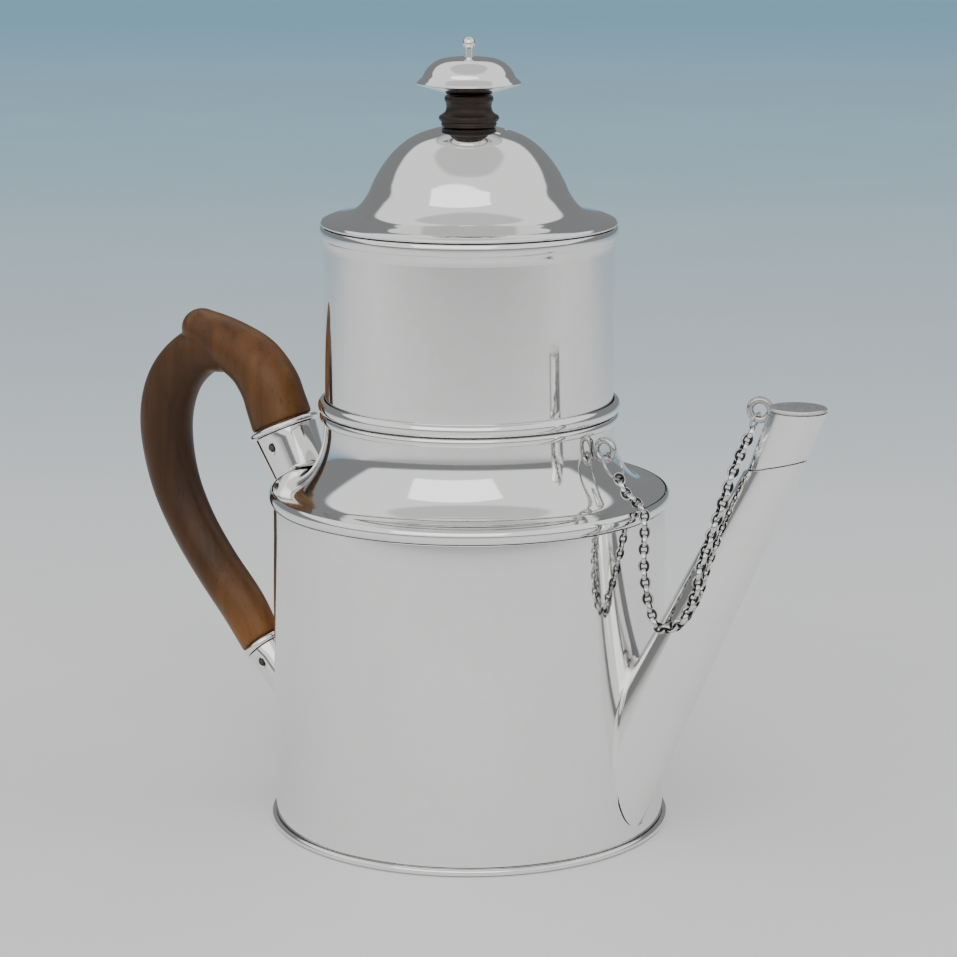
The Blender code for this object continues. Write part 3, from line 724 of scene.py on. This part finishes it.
def make_cap():
    outer = cone_lines(CAP_CONE, 0.0, MEDIUM)
    inner = cone_lines(CAP_CONE, SHEET, MEDIUM)
    low = seam_plane(GAP / 2)
    high = (Vector((0, 0, CAP_TOP_Z + GAP - CLEAR)), Vector((0, 0, 1)))
    foot = [at_plane(line, low) for line in outer]
    crown = [at_plane(line, high) for line in outer]
    in_foot = [at_plane(line, low) for line in inner]
    in_crown = [at_plane(line, high) for line in inner]
    loops = [blended(foot, in_foot, 0.25), [p + SPOUT_DIRECTION * 0.2 for p in foot]]
    loops += [blended(foot, crown, k / 5) for k in range(1, 6)] + [in_crown, in_foot]
    bm = bmesh.new()
    bridge(bm, loops, True)
    place(finish_piece("spout_cap", bm, POLISHED), "spout_cap", "silver", "cap_sleeve")
    edge, top = CAP_PLATE_R, CAP_PLATE_H
    outline = [(0, top), (edge - 0.25, top), (edge, top - 0.25), (edge, 0.55), (edge - 0.5, 0.0), (0, 0)]
    plate = turned("spout_cap_top", outline, WORN, MEDIUM, WALL_EASE)
    # The sleeve leans, so its level end is a little longer than it is wide.
    for vertex in plate.data.vertices:
        vertex.co.x /= sin(CAP_SLOPE)
    reach = (CAP_TOP_Z + GAP - CAP_FOOT.z) / sin(CAP_SLOPE)
    plate.location = (CAP_FOOT + CAP_DIRECTION * reach) * MM
    place(settle(plate), "spout_cap", "silver", "cap_top")


# ---------------------------------------------------------------- upper section and lid


def make_upper_section():
    wall = sheet_wall("upper_skin", UPPER_R, UPPER_LOW, UPPER_TOP, 8)
    place(wall, "upper_section", "silver", "upper_wall")
    bead = half_round(UPPER_R + GAP, FOOT_BEAD_R, UPPER_LOW - 0.1, UPPER_LOW + 3.6, 16)
    place(turned("upper_bead", bead, BRIGHT), "upper_section", "silver", "upper_foot_bead")
    # Below its half-round the rim runs down into the wall in a long flare.
    inner = UPPER_R - 0.2
    flare = ((inner + 0.18, -7.0), (inner + 0.22, -6.0), (inner + 0.32, -5.0), (RIM_R - 0.66, -4.0))
    outline = [(inner, UPPER_TOP), (inner, UPPER_TOP - 7.0)]
    outline += [(p.x, UPPER_TOP + p.y) for p in smooth_curve(flare, 4)]
    outline += arc(RIM_R - 0.68, UPPER_TOP - 1.8, 0.68, 1.75, -85, 90, 16)
    rim = turned("rim_moulding", outline, POLISHED, FINE, 0)
    place(rim, "upper_section", "silver", "upper_rim")
    resurface(WORN, "upper_sleeve", "strainer_plate")


DOME_LINE = (
    (40.3, 176.7),
    (36.2, 177.6),
    (32.2, 179.2),
    (29.2, 182.8),
    (27.0, 187.4),
    (24.3, 191.8),
    (20.4, 196.3),
    (15.6, 199.7),
    (9.0, 202.0),
    (3.0, 202.6),
)


def dome_outline(inset):
    """The lid's line from its rim over the flange and up the dome, smoothed and offset into the sheet."""
    made = []
    for p in smooth_curve(DOME_LINE, 3 if inset else 8):
        share = (p.y - LID_Z) / (DOME_TOP_Z - LID_Z)
        made.append((max(p.x - inset * (1 - share * share), 0.0), p.y - inset * (0.35 + 0.65 * share)))
    return made


def make_lid():
    outline = [(BOLT_HOLE_R, DOME_TOP_Z), (BOLT_HOLE_R, DOME_TOP_Z - SHEET)]
    outline += dome_outline(SHEET)[::-1]
    outline += [(LID_R - 2.6, LID_Z), (LID_R - 0.2, LID_Z)]
    outline += [(LID_R, LID_Z + 0.5), (LID_R - 0.5, LID_Z + 1.2)]
    outline += dome_outline(0.0)
    lid = turned("dome", outline, POLISHED, FINE, 0.12)
    for x, y in VENTS:
        combine(lid, rod("vent", (x, y, LID_Z + 15.1), (x, y, DOME_TOP_Z + 9.4), VENT_R, steps=20))
    place(lid, "lid", "silver", "lid_dome")
    high = LID_Z - GAP
    low = high - 5.0
    outer = UPPER_R - SHEET - 0.45
    bezel = [(outer, high), (outer, low), (outer - SHEET, low), (outer - SHEET, high)]
    place(turned("bezel", bezel, WORN), "lid", "silver", "lid_bezel")


def make_finial():
    # Each of these profiles is (radius, height over its own foot).
    low = DOME_TOP_Z + GAP
    spool = [(BOLT_HOLE_R, 0), (3.5, 0), (7.6, -0.35), (7.9, 0.3), (7.7, 0.9)]
    spool += arc(7.45, 1.95, 1.1, 1.0, -75, 75, 12)
    spool += [(7.2, 3.3), (6.75, 3.75), (6.5, 4.4), (6.4, 5.2), (6.48, 5.8)]
    spool += arc(6.2, 7.3, 0.75, 1.1, -60, 80, 10)
    spool += [(BOLT_HOLE_R, SPOOL_H)]
    spool = [(r, low + z) for r, z in spool]
    place(turned("spool", spool, DARK_WOOD, MEDIUM, 0.12), "lid", "dark_wood", "finial_spool")
    base = low + SPOOL_H + GAP
    button = [(BOLT_HOLE_R, 0), (6.3, 0), (14.6, 2.7), (14.85, 3.1)]
    crown = ((14.4, 3.6), (13.2, 4.7), (12.3, 6.4), (10.6, 8.3), (8.0, 9.7), (4.4, 10.3))
    button += [(p.x, p.y) for p in smooth_curve((*crown, (BOLT_HOLE_R, 10.4)), 5)]
    button = [(r, base + z) for r, z in button]
    place(turned("button", button, BRIGHT, MEDIUM, 0.2), "lid", "silver", "finial_button")
    top = base + BUTTON_H
    stem = [(0, BOLT_LOW), (BOLT_R, BOLT_LOW), (BOLT_R, top + 1.8)]
    stem += arc(0.0, top + BALL_UP, BALL_R, BALL_R, -degrees(acos(BOLT_R / BALL_R)), 90, 16)
    place(turned("ball_bolt", stem, BRIGHT, SMALL, 0), "lid", "silver", "finial_bolt")
    resurface(WORN, "finial_nut")


# ---------------------------------------------------------------- handle

# Stations of the wooden bar: x, z, half width in the handle's plane, half thickness across it.
GRIP = (
    (-75.9, 41.0, 6.6, 6.6),
    (-82.8, 51.0, 7.4, 6.9),
    (-93.1, 62.8, 7.2, 7.2),
    (-102.0, 75.0, 7.2, 7.5),
    (-108.4, 88.2, 7.6, 7.8),
    (-111.2, 103.0, 8.36, 8.0),
    (-109.6, 114.6, 8.6, 8.0),
    (-104.4, 123.4, 8.2, 7.8),
    (-95.8, 129.6, 7.6, 7.6),
    (-86.5, 130.0, 6.6, 7.0),
)
THUMB = (
    (-66.9, 110.1, 9.5, 9.3),
    (-69.2, 115.6, 9.3, 9.2),
    (-71.6, 121.2, 9.2, 8.9),
    (-76.8, 127.2, 8.8, 8.4),
    (-84.2, 131.2, 8.0, 8.0),
    (-91.8, 134.2, 7.1, 7.4),
    (-96.8, 136.2, 6.0, 6.6),
)


def cup_frame(cup):
    """The middle of the cup's mouth, and the way in from there."""
    mouth = Vector((cup["mouth"][0], 0.0, cup["mouth"][1]))
    into = Vector((cup["into"][0], 0.0, cup["into"][1])).normalized()
    return mouth, into


def swept(name, stations, start_along, arris=0.0, sides=40, per_span=9):
    """A wooden oval bar in the XZ plane, square to start_along at its start and rounded at its end."""
    path = smooth_curve(stations, per_span)
    rows = []
    for i, p in enumerate(path):
        ahead = path[min(i + 1, len(path) - 1)]
        behind = path[max(i - 1, 0)]
        along = Vector((ahead[0] - behind[0], ahead[1] - behind[1])).normalized()
        if i == 0:
            along = Vector(start_along).normalized()
        rows.append((Vector((p[0], p[1])), along, p[2], p[3]))
    at, along, wide, thick = rows[-1]
    for turn in ROUNDED_END:
        a = radians(turn)
        rows.append((at + along * wide * sin(a), along, wide * cos(a), thick * cos(a)))
    bm = bmesh.new()
    loops = []
    for at, along, wide, thick in rows:
        across = Vector((along[1], -along[0]))
        loop = []
        for k in range(sides):
            a = tau * k / sides
            inward = max(cos(a), 0.0) ** 2
            flat = at + across * wide * cos(a)
            narrow = 1.0 - arris * inward * abs(sin(a))
            loop.append(Vector((flat[0], thick * sin(a) * narrow, flat[1])))
        loops.append(loop)
    made = bridge(bm, loops)
    bm.faces.new(made[0])
    bm.faces.new(made[-1])
    return finish_piece(name, bm, BROWN_WOOD)


def trimmed(stations, cup):
    """The stations, with the first one moved to where the shaped wood stops outside its cup."""
    mouth, into = cup_frame(cup)
    clear = mouth - into * BAR_CLEAR
    return ((clear.x, clear.z, *stations[0][2:]),) + stations[1:]


def out_of(cup):
    return -cup["into"][0], -cup["into"][1]


def make_tenon(cup):
    mouth, into = cup_frame(cup)
    radius = cup["mouth_r"] - SHEET - TENON_PLAY
    slope = (cup["mouth_r"] - cup["end_r"]) / cup["deep"]
    end_r = radius - slope * TENON_DEEP
    outline = [(0, TENON_DEEP), (end_r, TENON_DEEP), (radius, -TENON_OUT), (0, -TENON_OUT)]
    return pose(turned("tenon", outline, BROWN_WOOD, MEDIUM, 0.3), mouth, into)


def pot_space():
    """A solid a joint's width larger than the pot, to shape the sockets' ends."""
    grown = BODY_R + GAP
    outline = [(0, 0.0), (grown, 0.0), (grown, WALL_TOP), (EDGE_R + GAP, WALL_TOP + 0.2)]
    outline += [(EDGE_R + GAP, LEDGE_Z - 0.8), (BODY_R, LEDGE_Z + 0.2)]
    outline += [(r, z + 0.15) for r, z in shoulder_curve(-GAP)]
    outline += [(NECK_R + GAP, NECK_TOP), (0, NECK_TOP)]
    return turned("pot_space", outline, PLAIN, MEDIUM, 0)


def cup_outline(cup):
    """A cup's section: from the floor of its bore, over its edge and down its outside to its closed end."""
    wide, deep = cup["mouth_r"], cup["deep"]
    slope = (wide - cup["end_r"]) / deep
    floor_z = GAP + CUP_BORE
    outline = [(0, floor_z), (wide - SHEET - slope * CUP_BORE, floor_z), (wide - SHEET, GAP), (wide, GAP)]
    for k in range(1, CUP_STEPS + 1):
        share = k / CUP_STEPS
        outline.append((wide - slope * deep * share, GAP + (deep - GAP) * share))
    return outline + [(0, deep)]


def make_sockets():
    space = pot_space()
    for name, cup in (("upper_socket", UPPER_CUP), ("lower_socket", LOWER_CUP)):
        mouth, into = cup_frame(cup)
        body = pose(turned(name + "_cup", cup_outline(cup), POLISHED, MEDIUM, 0.1), mouth, into)
        combine(body, space, keep=True)
        middle = mouth + into * PIN_DEPTH
        reach = Vector((0, 16, 0))
        combine(body, rod("pin_hole", middle - reach, middle + reach, PIN_HOLE_R))
        place(body, "pot", "silver", name)
        wide, half = cup["mouth_r"], CUP_BEAD_H / 2
        rim = [(wide - SHEET, 0.0), (wide - SHEET, -CUP_BEAD_H)]
        rim += arc(wide + 0.15, -half, cup["rim_r"] - wide - 0.15, half, -90, 90, 12)
        rim = pose(turned(name + "_bead", rim, BRIGHT, MEDIUM, 0.1), mouth, into)
        place(rim, "pot", "silver", name + "_rim")
        out = wide + PIN_PROUD
        profile = [(0, out), (0.55, out), (PIN_R, out - 0.22)]
        profile += [(r, -z) for r, z in profile[::-1]]
        pin = turned(name + "_rivet", profile, PIN_DARK, SMALL, 0)
        place(pose(pin, middle, (0, 1, 0)), "pot", "silver", name + "_pin")
    bpy.data.objects.remove(space)


def make_handle():
    grip = swept("wood_handle", trimmed(GRIP, LOWER_CUP), out_of(LOWER_CUP), INNER_ARRIS)
    combine(grip, swept("thumb", trimmed(THUMB, UPPER_CUP), out_of(UPPER_CUP)), "UNION")
    remesh = grip.modifiers.new("even", "REMESH")
    remesh.mode = "VOXEL"
    remesh.voxel_size = GRIP_VOXEL * MM
    soften = grip.modifiers.new("soften", "SMOOTH")
    soften.factor = 0.5
    soften.iterations = 8
    apply_modifiers(grip)
    for cup in (UPPER_CUP, LOWER_CUP):
        combine(grip, make_tenon(cup), "UNION")
    grip.data.shade_smooth()
    grip.data.set_sharp_from_angle(angle=radians(50))
    grip.data.materials.clear()
    grip.data.materials.append(BROWN_WOOD)
    place(grip, "pot", "handle_wood", "handle")


# ---------------------------------------------------------------- chain


def make_link(bm, at, along, flat):
    """One belcher link: a short oval of flat band, bright outside, with dark oxide and painted shade on its
    inside and most of its flat sides.
    """
    normal = along.cross(flat).normalized()
    rows = []
    for i in range(LINK_STEPS):
        a = tau * i / LINK_STEPS
        middle = at + along * LINK_LONG * cos(a) + flat * LINK_WIDE * sin(a)
        run = (flat * LINK_WIDE * cos(a) - along * LINK_LONG * sin(a)).normalized()
        out = normal.cross(run).normalized()
        if out.dot(middle - at) < 0:
            out = -out
        row = [middle + out * LINK_THICK * u + normal * LINK_BAND * v for u, v in LINK_SECTION]
        rows.append([bm.verts.new(p * MM) for p in row])
    # The faces that take dark oxide and painted shade: the inner face and most of each flat side.
    shaded_faces = range(len(LINK_BRIGHT), len(LINK_BRIGHT) + len(LINK_SHADED))
    for i in range(LINK_STEPS):
        for k in range(len(LINK_SECTION)):
            face = bm.faces.new((rows[i - 1][k - 1], rows[i - 1][k], rows[i][k], rows[i][k - 1]))
            face.material_index = 1 if k in shaded_faces else 0


def link_frames():
    """Centres and directions of the links, evenly spaced along the chain's whole route."""
    route = smooth_curve(CHAIN_ROUTE, ROUTE_STEPS)
    lengths = [0.0]
    for a, b in zip(route, route[1:]):
        lengths.append(lengths[-1] + (b - a).length)
    count = round(lengths[-1] / LINK_PITCH)
    made = []
    spot = 0
    for i in range(count + 1):
        want = lengths[-1] * i / count
        while spot < len(route) - 2 and lengths[spot + 1] < want:
            spot += 1
        start, end = route[spot], route[spot + 1]
        share = (want - lengths[spot]) / (lengths[spot + 1] - lengths[spot])
        made.append((start.lerp(end, share), (end - start).normalized()))
    return made


def make_chain():
    bm = bmesh.new()
    side = Vector((0.2, 1, 0.1)).normalized()
    for i, (at, along) in enumerate(link_frames()):
        first = along.cross(side).normalized()
        second = along.cross(first).normalized()
        lean = Quaternion(along, radians(LINK_LEANS[i % 3]))
        make_link(bm, at, along, lean @ (first if i % 2 else second))
    chain = finish_piece("belcher_chain", bm, CHAIN, 60)
    # The second material is the links' dark oxide and painted shade.
    chain.data.materials.append(CHAIN_OXIDE_AND_SHADE)
    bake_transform(chain)
    runs = [f"chain_bend_run_{i}" for i in (1, 2, 3, 4)]
    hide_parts("chain_neck_run", "chain_cap_run", *runs)


def hung_ring(name, size, eye, hang, drop):
    """A jump ring hanging in a fixed loop, the way that hang points."""
    middle = eye + hang * (EYE_RING[0] + drop)
    return pose(ring(name, *size, AGED), middle, hang.cross(Vector((0, 1, 0))))


def make_rings():
    eye = pose(ring("neck_loop", *EYE_RING, AGED), EYE, (0, 1, 0))
    combine(eye, rod("neck_space", (0, 0, 100), (0, 0, 130), NECK_R + 0.75, FINE))
    place(eye, "pot", "silver", "neck_eye")
    loop = pose(ring("cap_eye", *EYE_RING, AGED), CAP_LOOP, CAP_LOOP_FACE)
    place(loop, "spout_cap", "silver", "cap_loop")
    neck_ring = hung_ring("long_ring", NECK_RING, EYE, NECK_RING_HANG, NECK_RING_DROP)
    place(neck_ring, "pot", "silver", "neck_jump_ring")
    cap_ring = hung_ring("short_ring", CAP_RING, CAP_LOOP, CAP_RING_HANG, CAP_RING_DROP)
    place(cap_ring, "spout_cap", "silver", "cap_jump_ring")


# ---------------------------------------------------------------- stage


def make_floor():
    """A pale paper floor that turns a soft grey-blue far behind the pot."""
    bm = bmesh.new()
    bmesh.ops.create_grid(bm, x_segments=1, y_segments=1, size=FLOOR_HALF)
    n = Nodes("floor_paper")
    split = n.add("ShaderNodeSeparateXYZ")
    n.link(n.coords(turn=(0.0, 0.0, radians(-CAMERA_SIDE))), split.inputs["Vector"])
    near, far = FLOOR_SPAN
    base = n.ramp(n.span(split.outputs["Y"], 0.0, 1.0, near, far), FLOOR_TONES)
    grain = n.noise(n.coords(), scale=9.0)
    shade = n.ramp(grain, ((0.3, 0.97), (0.7, 1.0)))
    n.link(n.mix(1.0, base, shade, "MULTIPLY"), n.shader.inputs["Base Color"])
    n.shader.inputs["Roughness"].default_value = 0.55
    n.shader.inputs["Specular IOR Level"].default_value = 0.2
    floor = finish_piece("floor", bm, n.material)
    floor.location.z = -FLOOR_DROP


def make_world():
    """A white tent of light over the pot's front and top, open and dim along the horizon and behind it."""
    world = bpy.data.worlds.new("studio")
    bpy.context.scene.world = world
    world.use_nodes = True
    tree = world.node_tree
    back = tree.nodes["Background"]
    coords = tree.nodes.new("ShaderNodeTexCoord")
    parts = tree.nodes.new("ShaderNodeSeparateXYZ")
    tree.links.new(coords.outputs["Generated"], parts.inputs["Vector"])

    def math(operation, first, second):
        node = tree.nodes.new("ShaderNodeMath")
        node.operation = operation
        for place, value in enumerate((first, second)):
            if isinstance(value, float):
                node.inputs[place].default_value = value
            else:
                tree.links.new(value, node.inputs[place])
        return node.outputs["Value"]

    def edge(value, span):
        node = tree.nodes.new("ShaderNodeMapRange")
        node.interpolation_type = "SMOOTHSTEP"
        node.inputs["From Min"].default_value, node.inputs["From Max"].default_value = span
        tree.links.new(value, node.inputs["Value"])
        return node.outputs["Result"]

    side = radians(CAMERA_SIDE)
    behind_x = math("MULTIPLY", parts.outputs["X"], -sin(side))
    behind_y = math("MULTIPLY", parts.outputs["Y"], cos(side))
    behind = math("ADD", behind_x, behind_y)
    height = parts.outputs["Z"]
    over = edge(height, TENT_FOOT)
    front = edge(math("SUBTRACT", height, math("MULTIPLY", behind, TENT_LEAN)), TENT_BACK)
    top = math("SUBTRACT", 1.0, math("MULTIPLY", edge(height, TENT_CROWN), 1.0 - TENT_TOP))
    lit = math("MULTIPLY", math("MULTIPLY", over, front), top)
    mixer = tree.nodes.new("ShaderNodeMix")
    mixer.data_type = "RGBA"
    colours = [socket for socket in mixer.inputs if socket.type == "RGBA"]
    colours[0].default_value = (*DIM, 1.0)
    colours[1].default_value = (*TENT, 1.0)
    tree.links.new(lit, mixer.inputs["Factor"])
    tree.links.new(next(s for s in mixer.outputs if s.type == "RGBA"), back.inputs["Color"])
    back.inputs["Strength"].default_value = 1.0


def make_key():
    """One broad soft box, high at the pot's front."""
    data = bpy.data.lights.new("key", "AREA")
    data.shape = "RECTANGLE"
    data.size, data.size_y = KEY_SIZE
    data.energy = KEY_POWER
    made = bpy.data.objects.new("key", data)
    made.location = KEY_PLACE
    made.rotation_euler = (Vector(KEY_TARGET) - made.location).to_track_quat("-Z", "Y").to_euler()
    bpy.context.scene.collection.objects.link(made)


def make_camera():
    data = bpy.data.cameras.new("camera")
    data.lens = CAMERA_LENS
    data.sensor_width = 36.0
    data.clip_start, data.clip_end = 0.05, 20.0
    made = bpy.data.objects.new("camera", data)
    made.location = CAMERA_PLACE
    made.rotation_euler = [radians(turn) for turn in CAMERA_TURN]
    bpy.context.scene.collection.objects.link(made)
    bpy.context.scene.camera = made


PLAIN = bpy.data.materials.new("plain")
POLISHED = silver("silver_polished")
BRIGHT = silver("silver_bright", polish=0.04, tone=0.88, tarnish=0.2, dents=0.15)
PIN_DARK = silver("pin_dark", polish=0.35, tone=0.10, tarnish=0.8, dents=0.1)
WORN = silver("silver_worn", polish=0.22, tone=0.74, tarnish=0.8, dents=0.3, scratches=1.0)
CHAIN = silver("silver_chain", polish=0.10, tone=0.74, tarnish=1.0, dents=0.1, bloom_tone=0.45)
AGED = silver("silver_aged", polish=0.10, tone=0.52, tarnish=1.0, dents=0.2, bloom_tone=0.45)
# Near-black oxide and painted shade for the links' inner faces and flat sides.
CHAIN_OXIDE_AND_SHADE = silver("silver_oxide_and_painted_shade", polish=0.30, tone=0.035, tarnish=0.6, dents=0.1)
BROWN_WOOD = wood(
    "wood_brown",
    (0.060, 0.022, 0.005),
    (0.125, 0.048, 0.011),
    (0.200, 0.083, 0.021),
    polish=0.32,
    grain_turn=(0.0, 0.18, 0.0),
    pore=0.35,
    # The centre of the painted shade on the grip's inner face.
    shade_centre=(-98.0, 6.0, 96.0),
)
DARK_WOOD = wood(
    "wood_dark",
    (0.010, 0.006, 0.004),
    (0.022, 0.013, 0.009),
    (0.045, 0.027, 0.018),
    polish=0.26,
    grain_turn=(0.0, 0.0, 0.0),
)

make_camera()
make_floor()
make_world()
make_key()
make_base()
make_body_wall()
make_shoulder()
make_spout()
make_cap()
make_upper_section()
make_lid()
make_finial()
make_handle()
make_sockets()
make_rings()
make_chain()
